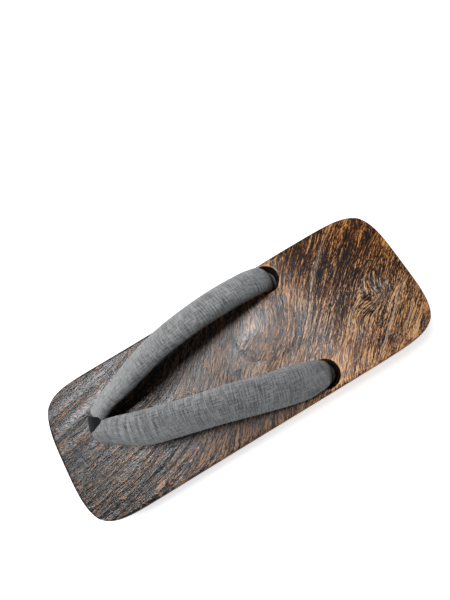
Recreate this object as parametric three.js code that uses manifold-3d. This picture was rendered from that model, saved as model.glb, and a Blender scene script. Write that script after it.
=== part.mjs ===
// A wooden geta sandal for the left foot, with a padded cloth thong.
// Millimetres. +X points to the toe, +Y to the outer side of the foot and +Z up. The ground is
// z = 0 and the origin lies under the middle of the sole.

import * as THREE from 'three';
import { mergeVertices } from 'three/addons/utils/BufferGeometryUtils.js';
import Module from 'manifold-3d';

// Driving dimensions of the sole
const soleLength = 255;
const soleWidth = 94.8;
const widerAtToe = 0.016;      // share by which the toe end is wider than the middle
const topChamfer = 1.2;
const bottomChamfer = 2.0;

// Roundness of the two ends in plan: how square the end is along and across the sole
const endShape = {
  toe: { along: 14, across: 3.33 },
  heel: { along: 13, across: 4.0 },
};

// Height of the top and of the underside, from the heel end to the toe end
const sideProfile = [
  { x: -127.5, top: 38.0, under: 0 },
  { x: -70, top: 38.0, under: 0 },
  { x: -40, top: 36.2, under: 0 },
  { x: -10, top: 32.9, under: 0 },
  { x: 20, top: 30.0, under: 0 },
  { x: 50, top: 28.8, under: 0 },
  { x: 80, top: 29.0, under: 0 },
  { x: 104, top: 29.8, under: 3.2 },
  { x: 127.5, top: 31.0, under: 11.0 },
];

// The arch cut through the underside from side to side
const archProfile = [
  { x: -64, roof: -1 },
  { x: -60, roof: 6 },
  { x: -52, roof: 11 },
  { x: -40, roof: 14 },
  { x: -26, roof: 15 },
  { x: -10, roof: 12.5 },
  { x: 4, roof: 6.5 },
  { x: 15, roof: -1 },
];

// Holes for the thong. The front hole lies nearer to the big toe than the sole's middle line.
const backHole = { x: -47.3, y: 35.7, shift: -0.5, radius: 8.6, depth: 17.5, cordRadius: 4.2, rim: 1.0 };
const frontHole = { x: 88.5, y: -11.8, radius: 6.2, rim: 0.8, recessRadius: 12, recessDepth: 7.5 };

// The two padded arms, from the fold at the toe back and down into their holes. The lift is the
// height of the arm's middle above the sole's top. The roll turns the wide face outwards.
const outerArm = [
  { x: 96.2, y: -6.2, lift: 12.0, wide: 12.8, thick: 8.0, roll: 44 },
  { x: 88.5, y: -3.4, lift: 15.0, wide: 17.6, thick: 9.4, roll: 43 },
  { x: 78.5, y: 0.9, lift: 18.8, wide: 22.0, thick: 10.4, roll: 41 },
  { x: 65, y: 6.8, lift: 24.0, wide: 24.2, thick: 11.0, roll: 38 },
  { x: 47, y: 12.0, lift: 28.4, wide: 23.2, thick: 11.4, roll: 35 },
  { x: 28, y: 17.0, lift: 30.0, wide: 22.8, thick: 11.8, roll: 32 },
  { x: 8, y: 22.0, lift: 28.4, wide: 22.6, thick: 12.0, roll: 28 },
  { x: -14, y: 28.0, lift: 21.8, wide: 22.4, thick: 12.0, roll: 22 },
  { x: -31, y: 31.8, lift: 13.8, wide: 22.4, thick: 12.0, roll: 16 },
  { x: -42.6, y: 33.4, lift: 8.2, wide: 18.4, thick: 10.8, roll: 3 },
  { x: -46.3, y: 34.7, lift: -1.5, wide: 15.2, thick: 10.4, roll: 1 },
  { x: -46.6, y: 35.0, lift: -13.5, wide: 14.8, thick: 10.4, roll: 0 },
];
const innerArm = [
  { x: 90.3, y: -14.9, lift: 13.2, wide: 17.0, thick: 8.8, roll: 50 },
  { x: 84.5, y: -17.2, lift: 15.8, wide: 19.6, thick: 9.6, roll: 52 },
  { x: 76, y: -20.0, lift: 19.4, wide: 21.0, thick: 10.4, roll: 55 },
  { x: 64, y: -22.4, lift: 24.4, wide: 22.0, thick: 11.0, roll: 52 },
  { x: 47, y: -26.6, lift: 28.4, wide: 21.6, thick: 11.4, roll: 45 },
  { x: 28, y: -30.5, lift: 30.0, wide: 20.8, thick: 11.8, roll: 39 },
  { x: 8, y: -33.4, lift: 28.4, wide: 20.0, thick: 12.0, roll: 33 },
  { x: -14, y: -35.4, lift: 21.8, wide: 19.6, thick: 12.0, roll: 26 },
  { x: -31, y: -36.4, lift: 13.8, wide: 19.2, thick: 12.0, roll: 19 },
  { x: -42.6, y: -36.4, lift: 8.0, wide: 17.6, thick: 11.0, roll: 6 },
  { x: -46.4, y: -36.3, lift: -1.5, wide: 15.8, thick: 10.6, roll: 2 },
  { x: -46.8, y: -36.2, lift: -13.5, wide: 15.2, thick: 10.6, roll: 0 },
];
const armSquareness = 2.35;    // exponent of the arm's section, 2 for an ellipse
const endRounding = 3;         // length over which each end of an arm closes
const endLean = { outer: 1.5, inner: 4.5, reach: 15 };    // how far the end at the loop is cut askew

// The narrow fold between the arms, and the loop around it with its stem down the front hole. The
// arms pinch the loop, so in plan it is a wedge, broad at the toe, and the whole fold sits askew.
const fold = { lift: 14.2, ahead: 1.1, halfLong: 3.3, halfHigh: 3.1, toInner: 6.7, toOuter: 7.8, skew: 0.3 };
const loop = { thick: 2.8, gap: 0.35, half: 8, openFrom: -4.2, reachUp: 17 };
// Sides of the wedge, as places ahead of the fold's middle and towards the outer arm
const wedgeInner = [[-9, 0.2], [-5, 0.2], [6, -6.4], [9, -6.4]];
const wedgeOuter = [[9, 4.2], [1.5, 4.2], [-5.2, 2.2], [-9, 2.2]];
const wedgeGap = 0.42;
const stem = { halfLong: 4.3, halfWide: 4.5, intoRing: 1.2, startBack: 0.2, middleBack: 0.6 };

// The cords under the sole and their knots. The heel tie starts just under the arm's end and its
// route is given as steps back from the hole's middle line and inwards from the hole.
const cordRadius = 2.6;
const smallGap = 0.35;
const slackGap = 0.1;
const toeKnot = { halfLong: 9.4, halfWide: 8.6, halfHigh: 3.1 };
const heelKnot = { x: -44.5, halfLong: 6.2, halfWide: 8.6, halfHigh: 4.4 };
const tieRoute = [
  { back: 0.6, inward: 0, from: 'top', rise: 0 },
  { back: 0.6, inward: 0, from: 'middle', rise: 0 },
  { back: 0.6, inward: 0.2, from: 'roof', rise: 0.6 },
  { back: 0.8, inward: 1.4, from: 'level', rise: 0.8 },
  { back: 1, inward: 5.4, from: 'level', rise: 0 },
  { back: 2, inward: 18, from: 'level', rise: 0 },
];

// Fineness of the facets
const outlineCount = 84;
const outlineSamples = 7200;
const turnLength = 26;         // length that a turn of the outline by one radian counts for
const ringShares = [0.25, 0.5, 0.65, 0.8, 0.91];
const archSteps = 28;
const armSectionCount = 18;
const armRingCount = 34;
const samplesPerRow = 12;
const closingShare = 0.12;     // share of an arm's rings that close each of its ends
const holeSides = 30;
const loopSides = 28;
const barSides = { neck: 16, stem: 20, tie: 8 };
const barSteps = { neck: 6, stem: 6, tie: 34 };
const knotSides = { around: 18, down: 10 };

// How far a cutting tool reaches past what it cuts
const cutReach = 2;

// Step, in rows, of the search for a place in the arch's table
const searchStep = 0.01;

// The first ring of an arm lies this far from its end point
const firstRing = 0.1;

const wasm = await Module();
wasm.setup();

// A solid for joining and cutting, from a closed three.js geometry.
function solidOf(geometry) {
  const bare = geometry.clone();
  bare.deleteAttribute('normal');
  bare.deleteAttribute('uv');
  const merged = mergeVertices(bare, 1e-4);
  const corners = merged.index.array;
  const triVerts = [];
  for (let i = 0; i < corners.length; i += 3) {
    const [a, b, c] = [corners[i], corners[i + 1], corners[i + 2]];
    if (a !== b && b !== c && c !== a) triVerts.push(a, b, c);
  }
  return new wasm.Manifold(new wasm.Mesh({
    numProp: 3,
    vertProperties: new Float32Array(merged.attributes.position.array),
    triVerts: new Uint32Array(triVerts),
  }));
}

// A three.js geometry from a joined or cut solid.
function geometryOf(solid) {
  const mesh = solid.getMesh();
  const geometry = new THREE.BufferGeometry();
  geometry.setAttribute('position', new THREE.BufferAttribute(mesh.vertProperties, 3));
  geometry.setIndex(new THREE.BufferAttribute(mesh.triVerts, 1));
  const flat = geometry.toNonIndexed();
  flat.computeVertexNormals();
  return flat;
}

// A row between the rows of a table, on a smooth curve through all of them. The place runs from
// 0 at the first row to the number of the last row.
function rowAt(rows, place) {
  const start = Math.min(Math.max(Math.floor(place), 0), rows.length - 2);
  const t = place - start;
  const before = rows[Math.max(start - 1, 0)];
  const from = rows[start];
  const to = rows[start + 1];
  const after = rows[Math.min(start + 2, rows.length - 1)];
  const row = {};
  for (const name of Object.keys(from)) {
    const slopeFrom = (to[name] - before[name]) / 2;
    const slopeTo = (after[name] - from[name]) / 2;
    row[name] = (2 * t ** 3 - 3 * t ** 2 + 1) * from[name] + (t ** 3 - 2 * t ** 2 + t) * slopeFrom
      + (3 * t ** 2 - 2 * t ** 3) * to[name] + (t ** 3 - t ** 2) * slopeTo;
  }
  return row;
}

// A column of the side profile at any x, with straight flats kept straight.
function heightAt(name, x) {
  const rows = sideProfile;
  let i = 0;
  while (i < rows.length - 2 && x > rows[i + 1].x) i += 1;
  const slopeOf = (k) => {
    const low = rows[Math.max(k - 1, 0)];
    const high = rows[Math.min(k + 1, rows.length - 1)];
    return (high[name] - low[name]) / (high.x - low.x);
  };
  const span = rows[i + 1].x - rows[i].x;
  const t = Math.min(Math.max((x - rows[i].x) / span, 0), 1);
  if (rows[i][name] === rows[i + 1][name]) return rows[i][name];
  const flatStart = i > 0 && rows[i - 1][name] === rows[i][name];
  const slopeFrom = flatStart ? 0 : slopeOf(i);
  const slopeTo = slopeOf(i + 1);
  return (2 * t ** 3 - 3 * t ** 2 + 1) * rows[i][name] + (t ** 3 - 2 * t ** 2 + t) * span * slopeFrom
    + (3 * t ** 2 - 2 * t ** 3) * rows[i + 1][name] + (t ** 3 - t ** 2) * span * slopeTo;
}

function signedPower(value, power) {
  return Math.sign(value) * Math.abs(value) ** power;
}

// The sole's outline in plan. Each end is a rounded rectangle given by two exponents, and the
// points are spaced evenly by length plus turn, so that corners get more of them.
function soleOutline(count) {
  const dense = [];
  for (let i = 0; i <= outlineSamples; i += 1) {
    const angle = 2 * Math.PI * (i / outlineSamples);
    const end = Math.cos(angle) >= 0 ? endShape.toe : endShape.heel;
    const along = signedPower(Math.cos(angle), 2 / end.along);
    const across = signedPower(Math.sin(angle), 2 / end.across);
    dense.push(new THREE.Vector2(
      (soleLength / 2) * along,
      (soleWidth / 2) * (1 + widerAtToe * along) * across,
    ));
  }
  const walked = [0];
  let heading = Math.PI / 2;
  for (let i = 1; i < dense.length; i += 1) {
    const step = dense[i].clone().sub(dense[i - 1]);
    let turn = Math.atan2(step.y, step.x) - heading;
    turn = Math.atan2(Math.sin(turn), Math.cos(turn));
    heading += turn;
    walked.push(walked[i - 1] + step.length() + turnLength * Math.abs(turn));
  }
  const points = [];
  let i = 0;
  for (let k = 0; k < count; k += 1) {
    const target = (walked[outlineSamples] * k) / count;
    while (walked[i + 1] < target) i += 1;
    const share = (target - walked[i]) / (walked[i + 1] - walked[i]);
    points.push(dense[i].clone().lerp(dense[i + 1], share));
  }
  return points;
}

// A closed solid from rings of equally many points, with a single point at each end.
function ringSolid(first, rings, last) {
  const count = rings[0].length;
  const positions = [first, ...rings.flat(), last].flatMap((p) => [p.x, p.y, p.z]);
  const lastIndex = rings.length * count + 1;
  const index = [];
  for (let k = 0; k < count; k += 1) {
    const next = (k + 1) % count;
    index.push(0, 1 + k, 1 + next);
    for (let r = 0; r < rings.length - 1; r += 1) {
      const here = 1 + r * count;
      const there = here + count;
      index.push(here + k, there + k, here + next, here + next, there + k, there + next);
    }
    const rim = 1 + (rings.length - 1) * count;
    index.push(lastIndex, rim + next, rim + k);
  }
  const geometry = new THREE.BufferGeometry();
  geometry.setAttribute('position', new THREE.Float32BufferAttribute(positions, 3));
  geometry.setIndex(index);
  return geometry;
}

// The sole before its arch and holes are cut: rings from the middle of the top outwards, down
// the wall and back to the middle of the underside.
function soleBlock() {
  const outline = soleOutline(outlineCount);
  const ring = (share, inset, height) => outline.map((p) => {
    const x = p.x * share * (1 - (2 * inset) / soleLength);
    const y = p.y * share * (1 - (2 * inset) / soleWidth);
    return new THREE.Vector3(x, y, height(x));
  });
  const top = (x) => heightAt('top', x);
  const under = (x) => heightAt('under', x);
  const rings = [
    ...ringShares.map((share) => ring(share, topChamfer, top)),
    ring(1, topChamfer, top),
    ring(1, 0, (x) => top(x) - topChamfer),
    ring(1, 0, (x) => under(x) + bottomChamfer),
    ring(1, bottomChamfer, under),
    ...ringShares.toReversed().map((share) => ring(share, bottomChamfer, under)),
  ];
  const middleTop = new THREE.Vector3(0, 0, top(0));
  const middleUnder = new THREE.Vector3(0, 0, under(0));
  return solidOf(ringSolid(middleTop, rings, middleUnder));
}

// What is cut away for the arch: its roof line carried across the whole width.
function archCut() {
  const points = archProfile.map((row) => new THREE.Vector2(row.x, row.roof));
  const shape = new THREE.Shape(new THREE.SplineCurve(points).getPoints(archSteps));
  const width = (1 + widerAtToe) * soleWidth + 2 * cutReach;
  const geometry = new THREE.ExtrudeGeometry(shape, { depth: width, bevelEnabled: false });
  geometry.rotateX(Math.PI / 2);
  geometry.translate(0, width / 2, 0);
  return solidOf(geometry);
}

// A round cut from a profile of radius and height, closed on the axis.
function roundCut(x, y, profile) {
  const points = profile.map((row) => new THREE.Vector2(row.radius, row.height));
  const geometry = new THREE.LatheGeometry(points, holeSides);
  geometry.rotateX(Math.PI / 2);
  geometry.translate(x, y, 0);
  return solidOf(geometry);
}

function backHoleCut(side) {
  const top = heightAt('top', backHole.x);
  const floor = top - backHole.depth;
  return roundCut(backHole.x, side * backHole.y + backHole.shift, [
    { radius: 0, height: -cutReach },
    { radius: backHole.cordRadius, height: -cutReach },
    { radius: backHole.cordRadius, height: floor },
    { radius: backHole.radius, height: floor },
    { radius: backHole.radius, height: top - backHole.rim },
    { radius: backHole.radius + backHole.rim + cutReach, height: top + cutReach },
    { radius: 0, height: top + cutReach },
  ]);
}

function frontHoleCut() {
  const top = heightAt('top', frontHole.x);
  return roundCut(frontHole.x, frontHole.y, [
    { radius: 0, height: -cutReach },
    { radius: frontHole.recessRadius, height: -cutReach },
    { radius: frontHole.recessRadius, height: frontHole.recessDepth },
    { radius: frontHole.radius, height: frontHole.recessDepth },
    { radius: frontHole.radius, height: top - frontHole.rim },
    { radius: frontHole.radius + frontHole.rim + cutReach, height: top + cutReach },
    { radius: 0, height: top + cutReach },
  ]);
}

// One padded arm: rounded sections carried along the arm's line, closed at both ends. The end at
// the loop leans, so that it is cut askew there.
function armSolid(rows, lean) {
  const centres = [];
  const sampleCount = rows.length * samplesPerRow;
  for (let i = 0; i < sampleCount; i += 1) {
    const row = rowAt(rows, ((rows.length - 1) * i) / (sampleCount - 1));
    centres.push(new THREE.Vector3(row.x, row.y, heightAt('top', row.x) + row.lift));
  }
  const line = new THREE.CatmullRomCurve3(centres);
  const length = line.getLength();
  const outward = Math.sign(rows[rows.length - 1].y);
  const up = new THREE.Vector3(0, 0, 1);
  const rings = [];
  for (let i = 0; i < armRingCount; i += 1) {
    const ease = i / (armRingCount - 1);
    const along = firstRing + (length - 2 * firstRing) * ringSpacing(ease, length);
    const share = along / length;
    const row = rowAt(rows, line.getUtoTmapping(share) * (rows.length - 1));
    const tangent = line.getTangentAt(share);
    const side = new THREE.Vector3().crossVectors(tangent, up).normalize();
    side.multiplyScalar(Math.sign(side.y) * outward);
    const face = new THREE.Vector3().crossVectors(side, tangent).normalize();
    face.multiplyScalar(Math.sign(face.z));
    const fromEnd = Math.min(along, length - along, endRounding) / endRounding;
    const closing = Math.sqrt(1 - (1 - fromEnd) ** 2);
    const leaning = lean * Math.max(1 - along / endLean.reach, 0) ** 2;
    const roll = THREE.MathUtils.degToRad(row.roll);
    const wideAxis = side.clone().multiplyScalar(Math.cos(roll)).addScaledVector(face, -Math.sin(roll));
    const thickAxis = side.clone().multiplyScalar(Math.sin(roll)).addScaledVector(face, Math.cos(roll));
    const centre = line.getPointAt(share);
    const ring = [];
    for (let k = 0; k < armSectionCount; k += 1) {
      const angle = outward * (2 * Math.PI * k) / armSectionCount;
      const across = signedPower(Math.cos(angle), 2 / armSquareness) * (row.wide / 2) * closing;
      const through = signedPower(Math.sin(angle), 2 / armSquareness) * (row.thick / 2) * closing;
      const point = centre.clone().addScaledVector(wideAxis, across).addScaledVector(thickAxis, through);
      ring.push(point.addScaledVector(tangent, -leaning * Math.cos(angle)));
    }
    rings.push(ring);
  }
  return solidOf(ringSolid(line.getPointAt(0), rings, line.getPointAt(1)));
}

// Even steps along an arm, with closer ones where its two ends close.
function ringSpacing(share, length) {
  const closeLength = endRounding / length;
  if (share < closingShare) {
    return closeLength * (1 - Math.cos((share / closingShare) * Math.PI / 2));
  }
  if (share > 1 - closingShare) {
    return 1 - closeLength * (1 - Math.cos(((1 - share) / closingShare) * Math.PI / 2));
  }
  return closeLength + (1 - 2 * closeLength) * ((share - closingShare) / (1 - 2 * closingShare));
}

// A bar of oval section along a smooth line through the points. One half size is level where the
// bar stands upright.
function ovalBar(points, halfWide, halfHigh, sides, steps) {
  const shape = new THREE.Shape();
  shape.absellipse(0, 0, halfWide, halfHigh, 0, 2 * Math.PI, false, 0);
  const section = new THREE.Shape(shape.getSpacedPoints(sides).slice(0, sides));
  const path = new THREE.CatmullRomCurve3(points.map((p) => new THREE.Vector3(...p)));
  const geometry = new THREE.ExtrudeGeometry(section, { steps, extrudePath: path, bevelEnabled: false });
  return solidOf(geometry);
}

// A rounded lump with its own half sizes.
function lump(centre, { halfLong, halfWide, halfHigh }) {
  const geometry = new THREE.SphereGeometry(1, knotSides.around, knotSides.down);
  geometry.rotateX(Math.PI / 2);
  geometry.scale(halfLong, halfWide, halfHigh);
  geometry.translate(...centre);
  return solidOf(geometry);
}

const foldCentre = [
  frontHole.x + fold.ahead,
  frontHole.y,
  heightAt('top', frontHole.x) + fold.lift,
];

const loopInside = fold.halfLong + loop.gap;
const loopOutside = loopInside + loop.thick;

// A ring around the fold's own axis, from a profile of distance from that axis and place along it.
function foldRing(profile) {
  const geometry = new THREE.LatheGeometry(profile.map((p) => new THREE.Vector2(...p)), loopSides);
  geometry.translate(...foldCentre);
  return solidOf(geometry);
}

// The wedge that the loop fills between the arms, grown by a gap, as a prism over a range of heights.
function wedge(gap, from, to) {
  const [x, y, z] = foldCentre;
  const plan = [
    ...wedgeInner.map(([ahead, across]) => new THREE.Vector2(x + ahead, y + across - gap)),
    ...wedgeOuter.map(([ahead, across]) => new THREE.Vector2(x + ahead, y + across + gap)),
  ];
  const settings = { depth: to - from, bevelEnabled: false };
  const geometry = new THREE.ExtrudeGeometry(new THREE.Shape(plan), settings);
  geometry.translate(0, 0, z + from);
  return solidOf(geometry);
}

// Sets the fold askew: each point moves ahead by a share of its distance towards the outer arm.
function setAskew(solid) {
  const back = -fold.skew * foldCentre[1];
  return solid.transform([1, 0, 0, 0, fold.skew, 1, 0, 0, 0, 0, 1, 0, back, 0, 0, 1]);
}

// The cloth stem of the loop, grown by a gap, from inside the loop's lower wall down the front hole.
function stemBar(gap) {
  const [x, y, z] = foldCentre;
  const bottom = frontHole.recessDepth - slackGap;
  const route = [
    [x - stem.startBack, y, z - loopInside - stem.intoRing + gap],
    [x - stem.middleBack, y, (z + bottom) / 2],
    [frontHole.x, y, bottom],
  ];
  return ovalBar(route, stem.halfLong + gap, stem.halfWide + gap, barSides.stem, barSteps.stem);
}

// Room for the loop between the arms: round where the arms close over it and open above elsewhere.
function loopRoom() {
  const [x, y, z] = foldCentre;
  const { half, gap, openFrom, reachUp } = loop;
  const radius = loopOutside + gap;
  const round = foldRing([[0, -half], [radius, -half], [radius, half], [0, half]]);
  const open = new THREE.BoxGeometry(reachUp, 2 * half, reachUp);
  open.translate(x + openFrom + reachUp / 2, y, z + reachUp / 2);
  return setAskew(wedge(wedgeGap, -reachUp, reachUp).intersect(round.add(solidOf(open))));
}

// The upper: both arms, cut out for the loop and joined by the narrow fold.
function strapSolid() {
  const [x, y, z] = foldCentre;
  const neck = ovalBar(
    [[x, y + fold.toOuter, z], [x, y, z], [x, y - fold.toInner, z]],
    fold.halfHigh, fold.halfLong, barSides.neck, barSteps.neck,
  );
  const arms = armSolid(outerArm, endLean.outer).add(armSolid(innerArm, endLean.inner));
  return arms.subtract(loopRoom()).subtract(stemBar(loop.gap)).add(setAskew(neck));
}

// The loop: a ring round the fold, pinched to a wedge, with its stem.
function loopSolid() {
  const { half, reachUp } = loop;
  const ring = foldRing([
    [loopInside, -half], [loopOutside, -half], [loopOutside, half], [loopInside, half], [loopInside, -half],
  ]);
  return setAskew(wedge(0, -reachUp, reachUp).intersect(ring)).add(stemBar(0));
}

function toeKnotSolid() {
  const height = frontHole.recessDepth - smallGap - slackGap - toeKnot.halfHigh;
  return lump([frontHole.x, frontHole.y, height], toeKnot);
}

// Height of the arch's roof at any x between the first and last rows of its table.
function roofAt(x) {
  const rows = archProfile;
  let place = 0;
  while (place < rows.length - 1 && rowAt(rows, place).x < x) place += searchStep;
  return rowAt(rows, place).roof;
}

// The cord from one strap end down through its hole, along the arch's roof and up the other
// hole, tied in the middle.
function heelTieSolid() {
  const roof = roofAt(backHole.x);
  const level = roof - smallGap - cordRadius;
  const top = heightAt('top', backHole.x) + outerArm.at(-1).lift - smallGap - slackGap;
  const half = (side) => tieRoute.map(({ back, inward, from, rise }) => [
    backHole.x + back,
    side * (backHole.y - inward) + backHole.shift,
    { top, middle: (top + roof) / 2, roof, level }[from] + rise,
  ]);
  const route = [...half(1), ...half(-1).toReversed()];
  const tie = ovalBar(route, cordRadius, cordRadius, barSides.tie, barSteps.tie);
  const knotHeight = roofAt(heelKnot.x - heelKnot.halfLong) - smallGap - heelKnot.halfHigh;
  return tie.add(lump([heelKnot.x, 0, knotHeight], heelKnot));
}

const woodShape = soleBlock()
  .subtract(archCut())
  .subtract(backHoleCut(1))
  .subtract(backHoleCut(-1))
  .subtract(frontHoleCut());

const woodFinish = new THREE.MeshStandardMaterial({ color: 0x4a3324, roughness: 0.45, metalness: 0 });
const clothFinish = new THREE.MeshStandardMaterial({ color: 0x77797b, roughness: 0.9, metalness: 0 });
const loopFinish = new THREE.MeshStandardMaterial({ color: 0x1b242b, roughness: 0.9, metalness: 0 });

const geta = new THREE.Group();

function addPiece(name, solid, finish) {
  const mesh = new THREE.Mesh(geometryOf(solid), finish);
  mesh.name = name;
  geta.add(mesh);
}

addPiece('wood_base', woodShape, woodFinish);
addPiece('straps', strapSolid(), clothFinish);
addPiece('toe_loop', loopSolid(), loopFinish);
addPiece('toe_knot', toeKnotSolid(), loopFinish);
addPiece('heel_tie', heelTieSolid(), loopFinish);

export default geta;
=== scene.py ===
# Left geta sandal: the looks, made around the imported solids. Metres, +X to the toe, +Z up.
import math

import bpy
import numpy as np
from mathutils import Euler, Matrix


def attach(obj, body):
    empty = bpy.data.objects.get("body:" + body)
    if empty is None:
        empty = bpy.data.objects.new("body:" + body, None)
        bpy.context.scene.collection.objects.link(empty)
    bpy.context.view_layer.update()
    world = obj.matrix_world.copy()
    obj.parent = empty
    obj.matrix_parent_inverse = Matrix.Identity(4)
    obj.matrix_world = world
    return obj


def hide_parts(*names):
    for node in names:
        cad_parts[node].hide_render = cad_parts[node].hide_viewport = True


mm = 0.001
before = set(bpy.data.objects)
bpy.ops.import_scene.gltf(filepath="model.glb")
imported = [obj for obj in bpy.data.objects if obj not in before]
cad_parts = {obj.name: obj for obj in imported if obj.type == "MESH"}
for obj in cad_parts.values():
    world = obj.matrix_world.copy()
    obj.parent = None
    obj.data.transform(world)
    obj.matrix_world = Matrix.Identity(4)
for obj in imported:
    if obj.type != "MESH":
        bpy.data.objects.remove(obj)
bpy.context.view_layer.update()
print("frame loaded")


# Mesh helpers

# A new mesh object from points (n x 3) and lists of faces, smooth shaded. Its signed volume, the sum of
# a . (b x c) over its triangles, says whether the faces have to be turned to look outwards.
def makePiece(name, points, faceArrays, uvArrays=None):
    volume = 0.0
    for faces in faceArrays:
        a = points[faces[:, 0]]
        for k in range(1, faces.shape[1] - 1):
            volume += np.sum(a * np.cross(points[faces[:, k]], points[faces[:, k + 1]]))
    if volume < 0:
        faceArrays = [faces[:, ::-1] for faces in faceArrays]
        uvArrays = None if uvArrays is None else [uvs[:, ::-1] for uvs in uvArrays]
    mesh = bpy.data.meshes.new(name)
    mesh.from_pydata(points.tolist(), [], [face for faces in faceArrays for face in faces.tolist()])
    if uvArrays is not None:
        uvMap = mesh.uv_layers.new(name="clothMap")
        uvMap.data.foreach_set("uv", np.concatenate([uvs.reshape(-1) for uvs in uvArrays]).astype(np.float32))
    mesh.polygons.foreach_set("use_smooth", np.ones(len(mesh.polygons), bool))
    mesh.update()
    piece = bpy.data.objects.new(name, mesh)
    bpy.context.scene.collection.objects.link(piece)
    return piece


# Joins rings of a closed tube to each other, with one point closing each end.
# rings is (ringCount, sectionCount, 3); uvs is (ringCount, sectionCount + 1, 2).
def makeTube(name, rings, firstPoint, lastPoint, uvs=None):
    ringCount, sectionCount = rings.shape[:2]
    i, k = np.meshgrid(np.arange(ringCount - 1), np.arange(sectionCount), indexing="ij")
    onward = (k + 1) % sectionCount
    quads = np.stack([i * sectionCount + k, i * sectionCount + onward,
                      (i + 1) * sectionCount + onward, (i + 1) * sectionCount + k], -1).reshape(-1, 4)
    ring = np.arange(sectionCount)
    nextRing = (ring + 1) % sectionCount
    lastStart = (ringCount - 1) * sectionCount
    firstCap = np.stack([np.full(sectionCount, ringCount * sectionCount), nextRing, ring], -1)
    lastCap = np.stack([np.full(sectionCount, ringCount * sectionCount + 1),
                        lastStart + ring, lastStart + nextRing], -1)
    points = np.concatenate([rings.reshape(-1, 3), firstPoint[None], lastPoint[None]])
    if uvs is None:
        return makePiece(name, points, [quads, firstCap, lastCap])
    quadUvs = np.stack([uvs[i, k], uvs[i, k + 1], uvs[i + 1, k + 1], uvs[i + 1, k]], -2).reshape(-1, 4, 2)
    firstUvs = np.stack([uvs[0, ring], uvs[0, ring + 1], uvs[0, ring]], 1)
    lastUvs = np.stack([uvs[-1, ring], uvs[-1, ring], uvs[-1, ring + 1]], 1)
    return makePiece(name, points, [quads, firstCap, lastCap], [quadUvs, firstUvs, lastUvs])


# Joins rings into a closed ring of rings, such as a torus.
def makeLoop(name, rings):
    ringCount, sectionCount = rings.shape[:2]
    i, k = np.meshgrid(np.arange(ringCount), np.arange(sectionCount), indexing="ij")
    nextI = (i + 1) % ringCount
    nextK = (k + 1) % sectionCount
    quads = np.stack([i * sectionCount + k, i * sectionCount + nextK,
                      nextI * sectionCount + nextK, nextI * sectionCount + k], -1).reshape(-1, 4)
    return makePiece(name, rings.reshape(-1, 3), [quads])


# Cuts the tools out of a piece, or joins them to it, and applies the result; the tools are removed.
def applyBoolean(piece, tools, operation):
    for tool in tools:
        modifier = piece.modifiers.new("shape", "BOOLEAN")
        modifier.operation = operation
        modifier.solver = "EXACT"
        modifier.object = tool
        bpy.context.view_layer.update()
        graph = bpy.context.evaluated_depsgraph_get()
        mesh = bpy.data.meshes.new_from_object(piece.evaluated_get(graph))
        piece.modifiers.clear()
        oldMesh = piece.data
        piece.data = mesh
        mesh.name = oldMesh.name
        bpy.data.meshes.remove(oldMesh)
        bpy.data.objects.remove(tool)


# The points of a mesh as an array.
def pointsOf(piece):
    points = np.empty(len(piece.data.vertices) * 3)
    piece.data.vertices.foreach_get("co", points)
    return points.reshape(-1, 3)


# Stores one number or three numbers for each point of a piece, for its material.
def storeOnPoints(piece, name, values):
    values = np.asarray(values, np.float32)
    kind, key = ("FLOAT", "value") if values.ndim == 1 else ("FLOAT_VECTOR", "vector")
    attribute = piece.data.attributes.new(name, kind, "POINT")
    attribute.data.foreach_set(key, values.ravel())


# Vectors made one long: each divided by its own length.
def unit(vectors):
    return vectors / np.linalg.norm(vectors, axis=-1, keepdims=True)


# Rings round a line: each point is its centre + first axis x across + second axis x through.
def ringsAround(line, firstAxis, across, secondAxis, through):
    return (line[:, None] + firstAxis[:, None] * across[..., None]
            + secondAxis[:, None] * through[..., None])


# Length of a line of points up to each point: the running sum of its steps.
def lengthAlong(line):
    return np.concatenate([[0], np.cumsum(np.linalg.norm(np.diff(line, axis=0), axis=1))])


# Columns read at places along a line whose points have the given lengths.
def columnsAt(places, lengths, columns):
    return np.column_stack([np.interp(places, lengths, column) for column in columns.T])


# Hermite curve between two values with a slope at each, for t from 0 to 1.
def hermite(t, first, slopeFirst, last, slopeLast):
    return ((2 * t ** 3 - 3 * t ** 2 + 1) * first + (t ** 3 - 2 * t ** 2 + t) * slopeFirst
            + (3 * t ** 2 - 2 * t ** 3) * last + (t ** 3 - t ** 2) * slopeLast)


# Table read between its rows: each column is a Hermite curve whose slope at a row is half the
# difference of the rows on either side.
def readTable(table, place):
    rows = np.array(table, float)
    start = np.clip(np.floor(place).astype(int), 0, len(rows) - 2)
    t = (place - start)[:, None]
    first, last = rows[start], rows[start + 1]
    slopeFirst = (last - rows[np.maximum(start - 1, 0)]) / 2
    slopeLast = (rows[np.minimum(start + 2, len(rows) - 1)] - first) / 2
    return hermite(t, first, slopeFirst, last, slopeLast)


# Height read from a table of (x, height): a Hermite curve with neighbour slopes, level where two
# rows have the same height.
def readHeight(table, x):
    xs, heights = np.array(table, float).T
    slopes = np.empty(len(xs))
    slopes[1:-1] = (heights[2:] - heights[:-2]) / (xs[2:] - xs[:-2])
    slopes[0] = (heights[1] - heights[0]) / (xs[1] - xs[0])
    slopes[-1] = (heights[-1] - heights[-2]) / (xs[-1] - xs[-2])
    flat = np.isclose(heights[1:], heights[:-1])
    slopes[:-1][flat] = 0
    slopes[1:][flat] = 0
    i = np.clip(np.searchsorted(xs, x, side="right") - 1, 0, len(xs) - 2)
    span = xs[i + 1] - xs[i]
    t = np.clip((x - xs[i]) / span, 0, 1)
    return hermite(t, heights[i], span * slopes[i], heights[i + 1], span * slopes[i + 1])


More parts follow.
